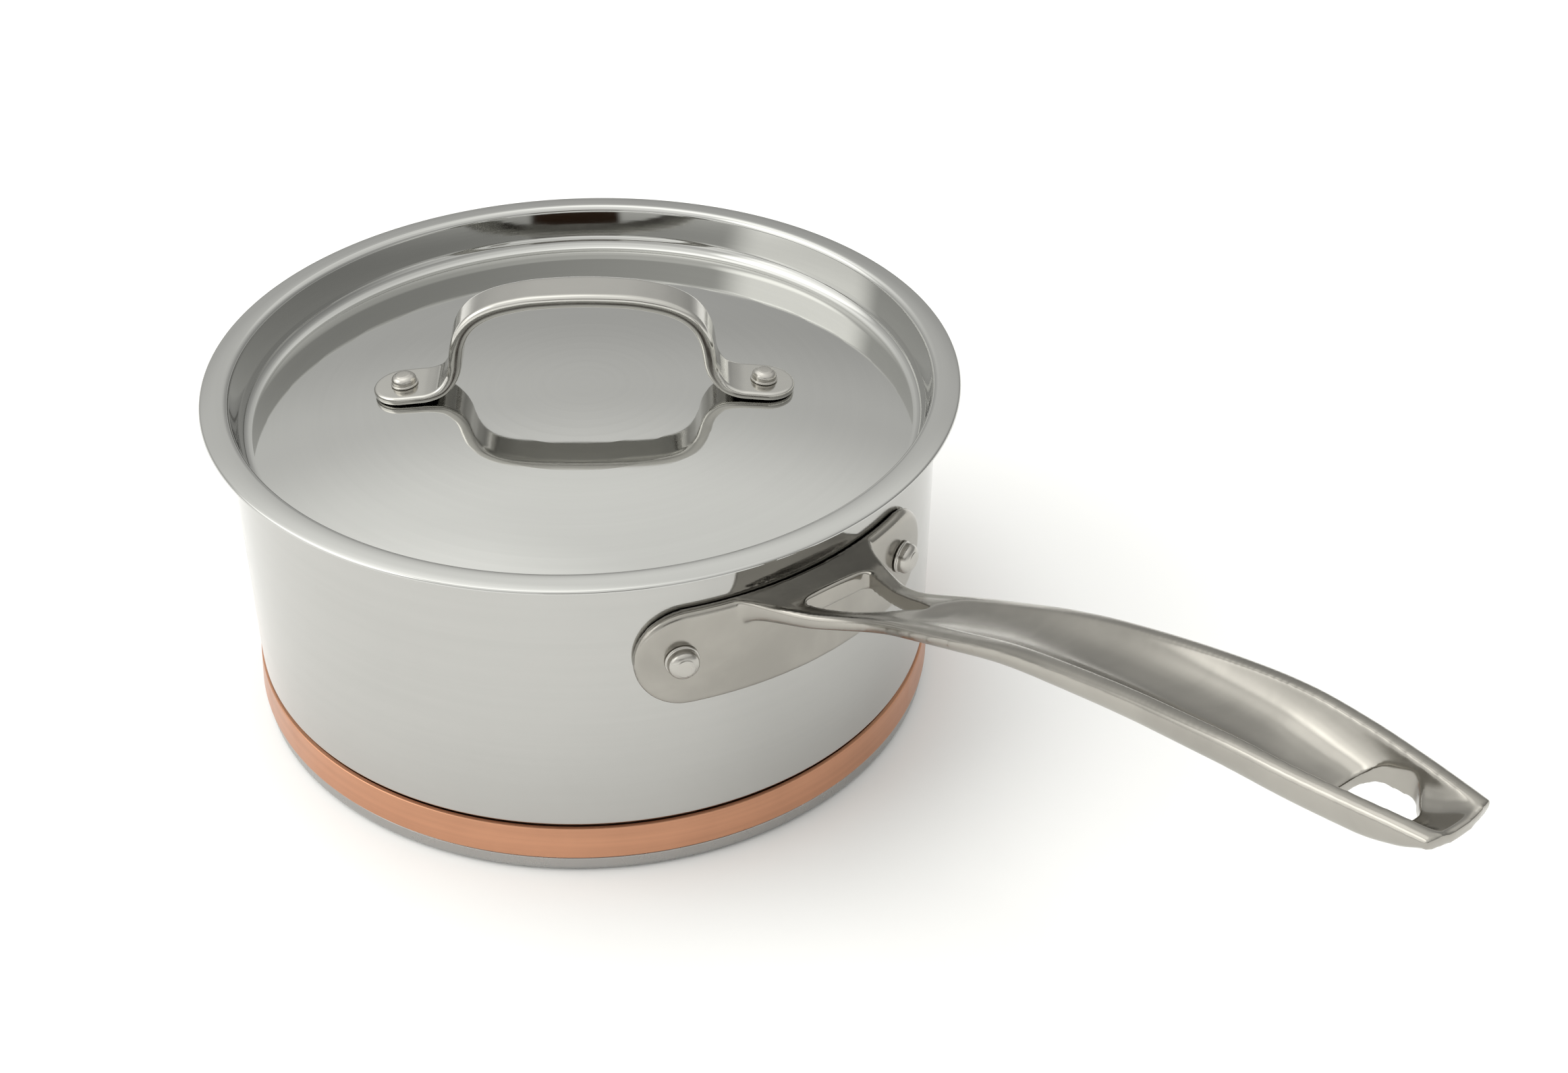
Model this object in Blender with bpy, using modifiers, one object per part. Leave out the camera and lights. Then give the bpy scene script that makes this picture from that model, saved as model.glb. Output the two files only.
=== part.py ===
"""A saucepan with a dished steel lid: turned pot, encapsulated copper-banded base, riveted cast handle.

Metres, +Z up. The origin is the centre of the base's underside, and the long handle points along +X.
"""

import math

import bmesh
import bpy
from mathutils import Matrix, Vector

MM = 0.001
GAP = 0.3 * MM  # clearance between pieces that touch

# Pot
WALL = 0.8 * MM
POT_RADIUS = 101.0 * MM
LIP_FLARE = 3.9 * MM
JOGGLE_TOP = 17.2 * MM  # below this the wall steps in behind the copper band
JOGGLE_RADIUS = 99.9 * MM
FLOOR_UNDERSIDE = 8.0 * MM
FLOOR_CORNER = 3.0 * MM

# Encapsulated base, from the table up: a thin steel tray holds the core disc, and the band hides the joint
TRAY_TOP = 5.1 * MM
TRAY_RADIUS = 101.5 * MM
TRAY_SHEET = 0.8 * MM
CORE_RADIUS = 99.9 * MM
BAND_BOTTOM = 5.6 * MM
BAND_TOP = 15.7 * MM
BAND_RADIUS_TOP = 101.4 * MM
BAND_RADIUS_BOTTOM = 102.1 * MM
BAND_INNER = JOGGLE_RADIUS + GAP

# Lid
RIM_TOP = 101.05 * MM
FLANGE_RADIUS = 107.7 * MM
FLANGE_ROUND = 0.9 * MM
DOME_TOP = 95.15 * MM
DOME_SPHERE = 610.0 * MM
PANEL_RADIUS = 94.6 * MM
SKIRT_TOP_RADIUS = 99.4 * MM
SKIRT_ROUND = 2.0 * MM
SKIRT_FOOT_RADIUS = 98.2 * MM
SKIRT_FOOT = 91.6 * MM
GUTTER_CORNER = (97.3 * MM, 87.75 * MM)  # pulls the curve between the panel and the skirt's foot

# Lid handle: a strap bent into a loop, riveted at both pads
LID_HANDLE_TURN = math.radians(54.1)
LID_RIVET_REACH = 51.2 * MM
PAD_REACH = 60.2 * MM
PAD_HALF_WIDTH = 8.3 * MM
STRAP_HALF_WIDTH = 6.4 * MM
PAD_THICKNESS = 2.4 * MM
STRAP_THICKNESS = 4.0 * MM
STRAP_KEYS = [  # middle line in the strap's own plane, in mm: (along, height), from crown to pad
    (0.0, 124.75), (12.0, 124.2), (19.0, 123.1), (25.0, 121.4), (29.8, 118.8), (33.0, 115.4), (34.9, 111.2),
    (35.7, 107.2), (36.2, 103.6), (37.5, 100.2), (40.2, 96.9), (44.2, 95.25), (48.5, 94.75), (60.2, 93.6),
]

# Long handle
PLATE_INNER = POT_RADIUS + GAP
PLATE_OUTER = 104.2 * MM
PLATE_MIDDLE = 72.8 * MM
PLATE_HALF_HEIGHT = 14.7 * MM
PLATE_HALF_SPAN = 50.4 * MM
HANDLE_RIVET_ANGLE = math.radians(20.8)
HANDLE_RIVET_HEIGHT = 73.2 * MM
ROOT_RADIUS = 102.9 * MM
ARMS_STRAIGHTEN = 126.0 * MM  # from here outwards a section of the handle is flat across
SCOOP_START = 148.0 * MM
RIM_WIDTH = 2.2 * MM
FORK_ROOT = 113.4 * MM  # the opening between the arms: its straight side, half width and point
FORK_HALF_WIDTH = 11.2 * MM
FORK_POINT = 151.0 * MM
HANG_CENTRE = 277.2 * MM
TIP_REACH = 296.2 * MM
TIP_ROUND = 6.0 * MM
TIP_BOW = 1.4 * MM  # how far the tip's edge bulges past its corners

# The long handle's section along its length, in mm: (distance from the pot's axis, value)
HALF_WIDTHS = [(103, 20.5), (107, 19.6), (112, 17.6), (120, 14.6), (128, 11.9), (136, 10.3), (144, 10.2),
               (152, 10.9), (168, 11.8), (184, 12.5), (200, 13.4), (224, 14.3), (244, 14.8), (264, 13.9),
               (280, 12.0), (288, 10.8), (295, 9.9)]
RIM_HEIGHTS = [(103, 87.9), (112, 89.0), (120, 90.6), (128, 93.3), (136, 96.9), (144, 101.0), (152, 105.0),
               (168, 112.5), (184, 119.7), (200, 125.5), (224, 132.7), (248, 138.2), (264, 140.2),
               (280, 141.8), (288, 142.5), (295, 142.9)]
SIDE_HEIGHTS = [(103, 5.8), (120, 4.0), (136, 3.6), (152, 3.7), (184, 4.6), (216, 5.8), (280, 6.8),
                (288, 5.6), (295, 3.0)]
BELLY_DROPS = [(103, 0.3), (136, 0.8), (168, 1.4), (216, 2.8), (256, 4.2), (280, 4.4), (288, 2.6), (295, 0.6)]
SCOOP_DEPTHS = [(103, -0.8), (136, -0.8), (148, -0.6), (156, 1.0), (176, 2.2), (200, 3.2), (224, 4.6),
                (248, 6.2), (264, 7.3), (280, 7.3), (288, 4.8), (295, 0.6)]
SQUARENESS = [(150, 2.0), (190, 2.2), (256, 3.6), (300, 3.6)]

# Rivets
RIVET_HOLE_SLACK = 0.3 * MM
HANDLE_SHANK = 2.6 * MM
HANDLE_HEAD = (4.7 * MM, 4.3 * MM)  # radius, height
HANDLE_TAIL = (4.6 * MM, 2.0 * MM)
LID_SHANK = 1.9 * MM
LID_HEAD = (3.9 * MM, 3.1 * MM)
LID_TAIL = (3.6 * MM, 1.4 * MM)

TURN_STEPS = 56
ROUND_STEPS = 20

STEEL = ((0.60, 0.61, 0.61, 1.0), 0.22)
MIRROR_STEEL = ((0.58, 0.58, 0.57, 1.0), 0.10)
CAST_STEEL = ((0.56, 0.54, 0.52, 1.0), 0.18)
RIVET_STEEL = ((0.60, 0.58, 0.55, 1.0), 0.32)
COPPER = ((0.72, 0.36, 0.24, 1.0), 0.35)
ALUMINIUM = ((0.70, 0.71, 0.72, 1.0), 0.45)


# ---------------------------------------------------------------- scene and helpers

def clear_scene():
    for obj in list(bpy.data.objects):
        bpy.data.objects.remove(obj, do_unlink=True)


def new_collection(name):
    collection = bpy.data.collections.new(name)
    bpy.context.scene.collection.children.link(collection)
    return collection


def new_material(name, look):
    colour, roughness = look
    material = bpy.data.materials.new(name)
    material.use_nodes = True
    shader = material.node_tree.nodes["Principled BSDF"]
    shader.inputs["Base Color"].default_value = colour
    shader.inputs["Metallic"].default_value = 1.0
    shader.inputs["Roughness"].default_value = roughness
    material.diffuse_color = colour
    return material


def add_object(name, mesh, collection, look=None):
    obj = bpy.data.objects.new(name, mesh)
    collection.objects.link(obj)
    if look:
        mesh.materials.append(new_material(name + "_metal", look))
    return obj


def as_helper(obj):
    """Marks an object that only cuts or joins another."""
    obj.hide_render = True
    obj.display_type = "WIRE"
    return obj


def boolean(obj, other, operation):
    modifier = obj.modifiers.new(other.name, "BOOLEAN")
    modifier.operation = operation
    modifier.object = other
    modifier.solver = "EXACT"


def arc(centre, radius, start, end, count):
    """Points on an arc, angles in degrees, both ends included."""
    angles = [math.radians(start + (end - start) * i / (count - 1)) for i in range(count)]
    return [(centre[0] + radius * math.cos(a), centre[1] + radius * math.sin(a)) for a in angles]


def offset(path, distance):
    """The path moved sideways, to the right of its direction, keeping its end points' directions."""
    points = [Vector(p) for p in path]
    moved = []
    for i, point in enumerate(points):
        before = (point - points[i - 1]).normalized() if i else None
        after = (points[i + 1] - point).normalized() if i + 1 < len(points) else None
        before = before or after
        after = after or before
        along = (before + after).normalized()
        stretch = 1.0 / max(0.5, along.dot(before))
        moved.append(tuple(point + Vector((along.y, -along.x)) * distance * stretch))
    return moved


def smooth(x, keys):
    """A Catmull-Rom curve through (place, value) keys, read at x."""
    if x <= keys[0][0]:
        return keys[0][1]
    if x >= keys[-1][0]:
        return keys[-1][1]
    i = max(k for k in range(len(keys) - 1) if keys[k][0] <= x)
    (x0, v0), (x1, v1) = keys[i], keys[i + 1]

    def slope(k):
        low, high = keys[max(k - 1, 0)], keys[min(k + 1, len(keys) - 1)]
        return (high[1] - low[1]) / (high[0] - low[0])

    span = x1 - x0
    t = (x - x0) / span
    start, end = slope(i) * span, slope(i + 1) * span
    return (
        (2 * t**3 - 3 * t**2 + 1) * v0
        + (t**3 - 2 * t**2 + t) * start
        + (3 * t**2 - 2 * t**3) * v1
        + (t**3 - t**2) * end
    )


def turned(name, profile, collection, look=None, steps=TURN_STEPS, closed=False):
    """A profile of (radius, height) turned about Z. It runs outwards over the top, then back underneath."""
    mesh = bpy.data.meshes.new(name)
    edges = [(i, i + 1) for i in range(len(profile) - 1)]
    if closed:
        edges.append((len(profile) - 1, 0))
    mesh.from_pydata([(r, 0.0, z) for r, z in profile], edges, [])
    obj = add_object(name, mesh, collection, look)
    screw = obj.modifiers.new("turn", "SCREW")
    screw.steps = steps
    screw.render_steps = steps
    screw.use_merge_vertices = True
    screw.merge_threshold = 0.00001
    return obj


def outward_mesh(name, shape):
    """The closed bmesh as a mesh whose faces all point outwards."""
    bmesh.ops.recalc_face_normals(shape, faces=shape.faces)
    if shape.calc_volume(signed=True) < 0:
        bmesh.ops.reverse_faces(shape, faces=shape.faces)
    mesh = bpy.data.meshes.new(name)
    shape.to_mesh(mesh)
    shape.free()
    return mesh


def cap(shape, row):
    """Closes an end ring whose first half runs over the top and whose second half runs back below."""
    half = len(row) // 2
    for i in range(half - 1):
        shape.faces.new((row[i], row[i + 1], row[-2 - i], row[-1 - i]))


def loft(name, rings, collection, look=None):
    """A closed skin through rings of equal point count, each end closed across from top to bottom."""
    shape = bmesh.new()
    rows = [[shape.verts.new(point) for point in ring] for ring in rings]
    count = len(rows[0])
    for low, high in zip(rows, rows[1:]):
        for i in range(count):
            j = (i + 1) % count
            shape.faces.new((low[i], low[j], high[j], high[i]))
    for row in (rows[0], rows[-1]):
        cap(shape, row)
    mesh = outward_mesh(name, shape)
    mesh.shade_smooth()
    mesh.set_sharp_from_angle(angle=math.radians(35))
    return add_object(name, mesh, collection, look)


def cylinder(name, radius, depth, place, collection, steps=ROUND_STEPS):
    shape = bmesh.new()
    bmesh.ops.create_cone(
        shape, cap_ends=True, segments=steps, radius1=radius, radius2=radius, depth=depth, matrix=place
    )
    mesh = bpy.data.meshes.new(name)
    shape.to_mesh(mesh)
    shape.free()
    return as_helper(add_object(name, mesh, collection))


def prism(name, outline, low, high, collection):
    """An outline in the XY plane as an upright cutter."""
    shape = bmesh.new()
    face = shape.faces.new([shape.verts.new((x, y, low)) for x, y in outline])
    lifted = bmesh.ops.extrude_face_region(shape, geom=[face])
    top = [item for item in lifted["geom"] if isinstance(item, bmesh.types.BMVert)]
    bmesh.ops.translate(shape, verts=top, vec=(0, 0, high - low))
    return as_helper(add_object(name, outward_mesh(name, shape), collection))


# ---------------------------------------------------------------- pot and base

def pot_profile():
    """Floor, wall and flared lip: the inside first, then the outside."""
    flare_centre = (POT_RADIUS + LIP_FLARE, RIM_TOP - WALL - GAP - WALL - LIP_FLARE)
    corner_centre = (JOGGLE_RADIUS - FLOOR_CORNER, FLOOR_UNDERSIDE + FLOOR_CORNER)
    inside = arc(corner_centre, FLOOR_CORNER - WALL, -90, 0, 4)
    inside += [(JOGGLE_RADIUS - WALL, JOGGLE_TOP - WALL), (POT_RADIUS - WALL, JOGGLE_TOP + WALL)]
    inside += arc(flare_centre, LIP_FLARE + WALL, 180, 90, 6)
    outside = arc(flare_centre, LIP_FLARE, 90, 180, 6)
    outside += [(POT_RADIUS, JOGGLE_TOP), (JOGGLE_RADIUS, BAND_TOP + GAP)]
    outside += arc(corner_centre, FLOOR_CORNER, 0, -90, 4)
    return [(0.0, inside[0][1])] + inside + outside + [(0.0, FLOOR_UNDERSIDE)]


def tray_profile():
    """The steel tray under the base: its inside from the centre out, over the rim, then its outside."""
    inner_radius, bend = TRAY_RADIUS - TRAY_SHEET, 1.2 * MM
    inside = arc((inner_radius - bend, TRAY_SHEET + bend), bend, -90, 0, 3)
    outside = arc((TRAY_RADIUS - 2 * bend, 2 * bend), 2 * bend, 0, -90, 5)
    rim = [(inner_radius, TRAY_TOP), (TRAY_RADIUS - 0.2 * MM, TRAY_TOP), (TRAY_RADIUS, TRAY_TOP - 0.3 * MM)]
    return [(0.0, TRAY_SHEET)] + inside + rim + outside + [(0.0, 0.0)]


def make_pot(parts):
    pot = turned("pot_body", pot_profile(), parts, STEEL)
    band = [
        (BAND_INNER, BAND_TOP),
        (BAND_RADIUS_TOP, BAND_TOP),
        (BAND_RADIUS_BOTTOM, BAND_BOTTOM + 0.4 * MM),
        (BAND_RADIUS_BOTTOM - 0.3 * MM, BAND_BOTTOM),
        (BAND_INNER, BAND_BOTTOM),
    ]
    turned("copper_band", band, parts, COPPER, closed=True)
    core_top, core_bottom = FLOOR_UNDERSIDE - GAP, TRAY_SHEET + GAP
    core = [
        (0.0, core_top), (CORE_RADIUS, core_top), (CORE_RADIUS, core_bottom + 2 * MM),
        (CORE_RADIUS - 2 * MM, core_bottom), (0.0, core_bottom),
    ]
    turned("base_core", core, parts, ALUMINIUM)
    turned("base_cap", tray_profile(), parts, STEEL)
    return pot


# ---------------------------------------------------------------- lid

def dome_height(radius):
    return DOME_TOP - radius**2 / (2 * DOME_SPHERE)


def lid_top_surface():
    """The lid's upper face, from the centre out to the edge of the flange."""
    dome = [(PANEL_RADIUS * i / 5, dome_height(PANEL_RADIUS * i / 5)) for i in range(6)]
    foot = (SKIRT_FOOT_RADIUS, SKIRT_FOOT)
    start = dome[-1]
    fillet = []
    for t in (0.25, 0.5, 0.75):
        fillet.append(
            tuple(
                (1 - t) ** 2 * a + 2 * t * (1 - t) * b + t**2 * c
                for a, b, c in zip(start, GUTTER_CORNER, foot)
            )
        )
    rounding = arc((SKIRT_TOP_RADIUS + SKIRT_ROUND, RIM_TOP - SKIRT_ROUND), SKIRT_ROUND, 172, 90, 4)
    edge = arc((FLANGE_RADIUS - FLANGE_ROUND, RIM_TOP - FLANGE_ROUND), FLANGE_ROUND, 90, 20, 3)
    return dome + fillet + [foot] + rounding + edge


def make_lid(parts):
    top = lid_top_surface()
    underside = offset(top, WALL)
    underside[0] = (0.0, top[0][1] - WALL)
    return turned("lid_shell", top + underside[::-1], parts, MIRROR_STEEL)


def lift_axis(parts):
    """An empty on the pot's axis that carries all of the lid's pieces."""
    axis = bpy.data.objects.new("lid_lift_axis", None)
    axis.empty_display_size = 20 * MM
    parts.objects.link(axis)
    return axis


# ---------------------------------------------------------------- lid handle

def strap_half(count):
    """Evenly spaced points on a smooth curve through the keys, on the +U side."""
    keys = [Vector((u * MM, z * MM)) for u, z in STRAP_KEYS]
    mirrored = [Vector((-keys[1].x, keys[1].y))] + keys + [keys[-1] * 2 - keys[-2]]
    fine = []
    for i in range(1, len(mirrored) - 2):
        p0, p1, p2, p3 = mirrored[i - 1:i + 3]
        for k in range(12):
            t = k / 12
            fine.append(
                0.5 * (2 * p1 + (p2 - p0) * t + (2 * p0 - 5 * p1 + 4 * p2 - p3) * t**2
                       + (3 * p1 - p0 - 3 * p2 + p3) * t**3)
            )
    fine.append(keys[-1])
    lengths = [0.0]
    for a, b in zip(fine, fine[1:]):
        lengths.append(lengths[-1] + (b - a).length)
    points = []
    for k in range(count):
        target = lengths[-1] * k / (count - 1)
        i = min(max(j for j in range(len(lengths)) if lengths[j] <= target), len(fine) - 2)
        t = (target - lengths[i]) / (lengths[i + 1] - lengths[i])
        points.append(fine[i].lerp(fine[i + 1], t))
    return points


def strap_ring(point, across, half_width, thickness):
    """A bevelled rectangle across the strap, in its own (U, V, Z) frame."""
    bevel = min(0.9 * MM, half_width * 0.3)
    half = thickness / 2
    corners = [
        (-half_width, half - bevel), (bevel - half_width, half), (half_width - bevel, half),
        (half_width, half - bevel), (half_width, bevel - half), (half_width - bevel, -half),
        (bevel - half_width, -half), (-half_width, bevel - half),
    ]
    return [Vector((point.x + across.x * h, v, point.y + across.y * h)) for v, h in corners]


def make_lid_handle(parts):
    half = strap_half(30)
    round_centre = PAD_REACH - PAD_HALF_WIDTH
    ends = [PAD_REACH - 0.15 * MM, PAD_REACH - 0.9 * MM, PAD_REACH - 2.4 * MM, PAD_REACH - 4.6 * MM]
    inner = [p for p in half if p.x < round_centre]
    pad_slope = (half[-1] - half[-2]) / (half[-1].x - half[-2].x)
    outer = [half[-1] + pad_slope * (u - half[-1].x) for u in sorted(ends)]
    side = inner + outer
    line = [Vector((-p.x, p.y)) for p in side[:0:-1]] + side
    rings = []
    for i, point in enumerate(line):
        low, high = line[max(i - 1, 0)], line[min(i + 1, len(line) - 1)]
        along = (high - low).normalized()
        across = Vector((-along.y, along.x))
        reach = abs(point.x)
        spread = smooth(reach, [(0, 0), (34 * MM, 0), (44 * MM, 1), (PAD_REACH, 1)])
        half_width = STRAP_HALF_WIDTH + (PAD_HALF_WIDTH - STRAP_HALF_WIDTH) * spread
        if reach > round_centre:
            half_width = math.sqrt(max(PAD_HALF_WIDTH**2 - (reach - round_centre) ** 2, 0))
        thickness = STRAP_THICKNESS + (PAD_THICKNESS - STRAP_THICKNESS) * spread
        rings.append(strap_ring(point, across, half_width, thickness))
    handle = loft("lid_handle", rings, parts, CAST_STEEL)
    handle.rotation_euler.z = LID_HANDLE_TURN
    return handle


def lid_rivet_place(side):
    """Where a lid rivet stands: on the panel, square to its dome."""
    height = dome_height(LID_RIVET_REACH)
    tilt = math.asin(LID_RIVET_REACH / DOME_SPHERE)
    turn = Matrix.Rotation(LID_HANDLE_TURN + (0 if side > 0 else math.pi), 4, "Z")
    return turn @ Matrix.Translation((LID_RIVET_REACH, 0, height)) @ Matrix.Rotation(tilt, 4, "Y")


def rivet_profile(shank, seat, head, tail_seat, tail):
    """A domed head standing on its seat, the shank, and a flat tail under the tail's seat."""
    head_radius, head_height = head
    tail_radius, tail_height = tail
    top, collar = seat + head_height, seat + 0.35 * head_height
    profile = [(0.0, top), (0.45 * head_radius, top)]
    profile += [(0.80 * head_radius, top - 0.22 * head_height)]
    profile += [(0.93 * head_radius, top - 0.45 * head_height)]
    profile += [(0.95 * head_radius, collar), (head_radius, collar - 0.1 * MM), (head_radius, seat)]
    profile += [(shank, seat), (shank, tail_seat), (tail_radius, tail_seat)]
    profile += [(0.8 * tail_radius, tail_seat - tail_height), (0.0, tail_seat - tail_height)]
    return profile


def make_lid_rivets(parts, cutters, lid, handle):
    pad_top = strap_height_at(LID_RIVET_REACH) - dome_height(LID_RIVET_REACH) + PAD_THICKNESS / 2
    for side, name in ((-1, "left"), (1, "right")):
        place = lid_rivet_place(side)
        profile = rivet_profile(LID_SHANK, pad_top + GAP, LID_HEAD, -WALL - GAP, LID_TAIL)
        rivet = turned("lid_rivet_" + name, profile, parts, RIVET_STEEL, steps=ROUND_STEPS)
        rivet.matrix_world = place
        rivet.parent = lid.parent
        hole = cylinder(
            "lid_rivet_hole_" + name, LID_SHANK + RIVET_HOLE_SLACK, 12 * MM, place, cutters
        )
        boolean(lid, hole, "DIFFERENCE")
        boolean(handle, hole, "DIFFERENCE")


def strap_height_at(along):
    """Height of the strap's middle line on the pad."""
    (u0, z0), (u1, z1) = STRAP_KEYS[-2:]
    return (z0 + (z1 - z0) * (along / MM - u0) / (u1 - u0)) * MM


# ---------------------------------------------------------------- long handle

def handle_ring(s):
    """One section of the handle: rounded rims, a scooped top and a convex underside."""
    tables = HALF_WIDTHS, RIM_HEIGHTS, SIDE_HEIGHTS, BELLY_DROPS, SCOOP_DEPTHS
    width, rim, side, belly, scoop = (smooth(s / MM, keys) * MM for keys in tables)
    squareness = smooth(s / MM, SQUARENESS)
    floor_half = width - RIM_WIDTH
    across = [i / 4 - 1 for i in range(9)]
    top = [(t * floor_half, rim - scoop * (1 - abs(t) ** squareness)) for t in across]
    edge = [
        (width - 0.7 * MM, rim - 0.3 * MM), (width, rim - 1.3 * MM),
        (width - 0.3 * MM, rim - 0.75 * side),
    ]
    under = [(-t * (width - 1.2 * MM), rim - side - belly * math.cos(t * math.pi / 2)) for t in across]
    points = [(-y, z) for y, z in reversed(edge[:2])] + top + edge[:2]
    points += [edge[2]] + under + [(-edge[2][0], edge[2][1])]
    bend = max(0.0, min(1.0, (ARMS_STRAIGHTEN - s) / (ARMS_STRAIGHTEN - ROOT_RADIUS)))
    bow = TIP_BOW * max(0.0, (s - TIP_REACH + TIP_ROUND) / TIP_ROUND)
    return [
        (s - bend * (s - math.sqrt(s**2 - y**2)) - bow * (y / width) ** 2, y, z) for y, z in points
    ]


def handle_stations():
    root = [ROOT_RADIUS + (SCOOP_START - ROOT_RADIUS) * i / 12 for i in range(12)]
    bar = [SCOOP_START + (TIP_REACH - TIP_ROUND - SCOOP_START) * i / 24 for i in range(24)]
    return root + bar + [TIP_REACH - TIP_ROUND * d for d in (1.0, 0.75, 0.5, 0.25, 0.0)]


def make_plate(cutters):
    """The bracket that hugs the wall: a stadium wrapped round the pot."""
    reach = PLATE_HALF_SPAN
    straight = reach - PLATE_HALF_HEIGHT
    ends = [PLATE_HALF_HEIGHT * math.cos(math.radians(a)) for a in (8, 20, 35, 50, 66, 90)]
    side = [straight + e for e in ends]
    middle = [straight * (1 - 2 * i / 16) for i in range(1, 16)]
    rings = []
    for y in side + middle + [-y for y in reversed(side)]:
        over = max(abs(y) - straight, 0.0)
        half = math.sqrt(PLATE_HALF_HEIGHT**2 - over**2)
        bevel = 0.8 * MM
        section = [
            (PLATE_INNER, half), (PLATE_OUTER - bevel, half), (PLATE_OUTER, half - bevel),
            (PLATE_OUTER, bevel - half), (PLATE_OUTER - bevel, -half), (PLATE_INNER, -half),
        ]
        angle = y / PLATE_OUTER
        rings.append([(r * math.cos(angle), r * math.sin(angle), PLATE_MIDDLE + z) for r, z in section])
    return as_helper(loft("bracket_plate", rings, cutters))


def rounded(corners, count=5):
    """A polygon with rounded corners, from (x, y, radius) corners in order."""
    outline = []
    for i, (x, y, radius) in enumerate(corners):
        here = Vector((x, y))
        before = (Vector(corners[i - 1][:2]) - here).normalized()
        after = (Vector(corners[(i + 1) % len(corners)][:2]) - here).normalized()
        half = before.angle(after) / 2
        centre = here + (before + after).normalized() * radius / math.sin(half)
        start = here + before * radius / math.tan(half) - centre
        end = here + after * radius / math.tan(half) - centre
        sweep = start.angle_signed(end)
        for k in range(count):
            turn = Matrix.Rotation(-sweep * k / (count - 1), 2)
            outline.append(tuple(centre + turn @ start))
    return outline


def make_long_handle(parts, cutters):
    handle = loft("long_handle", [handle_ring(s) for s in handle_stations()], parts, CAST_STEEL)
    boolean(handle, make_plate(cutters), "UNION")
    corner = 1.6 * MM
    fork = rounded([
        (FORK_ROOT, -FORK_HALF_WIDTH, corner), (FORK_POINT, 0.0, corner), (FORK_ROOT, FORK_HALF_WIDTH, corner)
    ])
    boolean(handle, prism("fork_opening", fork, 70 * MM, 130 * MM, cutters), "DIFFERENCE")
    back, shoulder, point = HANG_CENTRE - 8.0 * MM, HANG_CENTRE + 3.5 * MM, HANG_CENTRE + 10.0 * MM
    half, turn = 7.5 * MM, 4.6 * MM
    hang = rounded([
        (back, -half, turn), (shoulder, -half, turn), (point, 0.0, turn), (shoulder, half, turn),
        (back, half, turn),
    ])
    boolean(handle, prism("hang_hole", hang, 120 * MM, 160 * MM, cutters), "DIFFERENCE")
    return handle


def make_handle_rivets(parts, cutters, pot, handle):
    for side, name in ((-1, "left"), (1, "right")):
        place = Matrix.Rotation(side * HANDLE_RIVET_ANGLE, 4, "Z")
        place = place @ Matrix.Translation((0, 0, HANDLE_RIVET_HEIGHT)) @ Matrix.Rotation(math.pi / 2, 4, "Y")
        seat = PLATE_OUTER + GAP
        inside = POT_RADIUS - WALL - 1.6 * GAP
        profile = rivet_profile(HANDLE_SHANK, seat, HANDLE_HEAD, inside, HANDLE_TAIL)
        rivet = turned("handle_rivet_" + name, profile, parts, RIVET_STEEL, steps=ROUND_STEPS)
        rivet.matrix_world = place
        middle = place @ Matrix.Translation((0, 0, POT_RADIUS))
        hole = cylinder(
            "handle_rivet_hole_" + name, HANDLE_SHANK + RIVET_HOLE_SLACK, 20 * MM, middle, cutters
        )
        boolean(pot, hole, "DIFFERENCE")
        boolean(handle, hole, "DIFFERENCE")


# ---------------------------------------------------------------- the saucepan

def main():
    clear_scene()
    parts = new_collection("saucepan")
    cutters = new_collection("cutters")
    cutters.hide_render = True
    pot = make_pot(parts)
    lid = make_lid(parts)
    lid_handle = make_lid_handle(parts)
    lid.parent = lid_handle.parent = lift_axis(parts)
    make_lid_rivets(parts, cutters, lid, lid_handle)
    long_handle = make_long_handle(parts, cutters)
    make_handle_rivets(parts, cutters, pot, long_handle)


main()
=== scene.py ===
"""A saucepan with a dished steel lid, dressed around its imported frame.

Every length is in metres in the row frame: the origin is the centre of the base's underside,
+Z is up along the pot's axis, and the long handle points along +X.
"""

import math

import bmesh
import bpy
from mathutils import Euler, Matrix, Vector


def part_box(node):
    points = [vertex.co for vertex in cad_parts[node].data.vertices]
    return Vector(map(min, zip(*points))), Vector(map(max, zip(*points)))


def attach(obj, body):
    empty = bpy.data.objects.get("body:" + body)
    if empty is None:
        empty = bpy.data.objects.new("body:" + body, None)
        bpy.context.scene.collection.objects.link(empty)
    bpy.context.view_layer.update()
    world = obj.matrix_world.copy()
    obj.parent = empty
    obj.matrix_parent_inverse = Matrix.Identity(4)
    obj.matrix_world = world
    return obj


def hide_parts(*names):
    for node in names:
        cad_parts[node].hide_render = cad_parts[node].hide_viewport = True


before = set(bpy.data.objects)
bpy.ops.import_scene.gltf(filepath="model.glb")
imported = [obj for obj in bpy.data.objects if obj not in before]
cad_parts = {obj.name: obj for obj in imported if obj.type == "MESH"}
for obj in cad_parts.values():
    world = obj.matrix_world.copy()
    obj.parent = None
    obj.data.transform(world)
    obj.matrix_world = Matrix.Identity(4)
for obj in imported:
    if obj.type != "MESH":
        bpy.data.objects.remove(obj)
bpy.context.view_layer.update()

MM = 0.001
# The clearance that the CAD keeps between parts, and the one left under a seated rivet here.
GAP = 0.3 * MM
TOUCH = 0.02 * MM

# ---------------------------------------------------------------- sizes, from the frame where it has them

pot_low, pot_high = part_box("pot_body")
lid_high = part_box("lid_shell")[1]
band_low, band_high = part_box("copper_band")
cap_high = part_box("base_cap")[1]
loop_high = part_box("lid_handle")[1]
handle_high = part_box("long_handle")[1]

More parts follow.
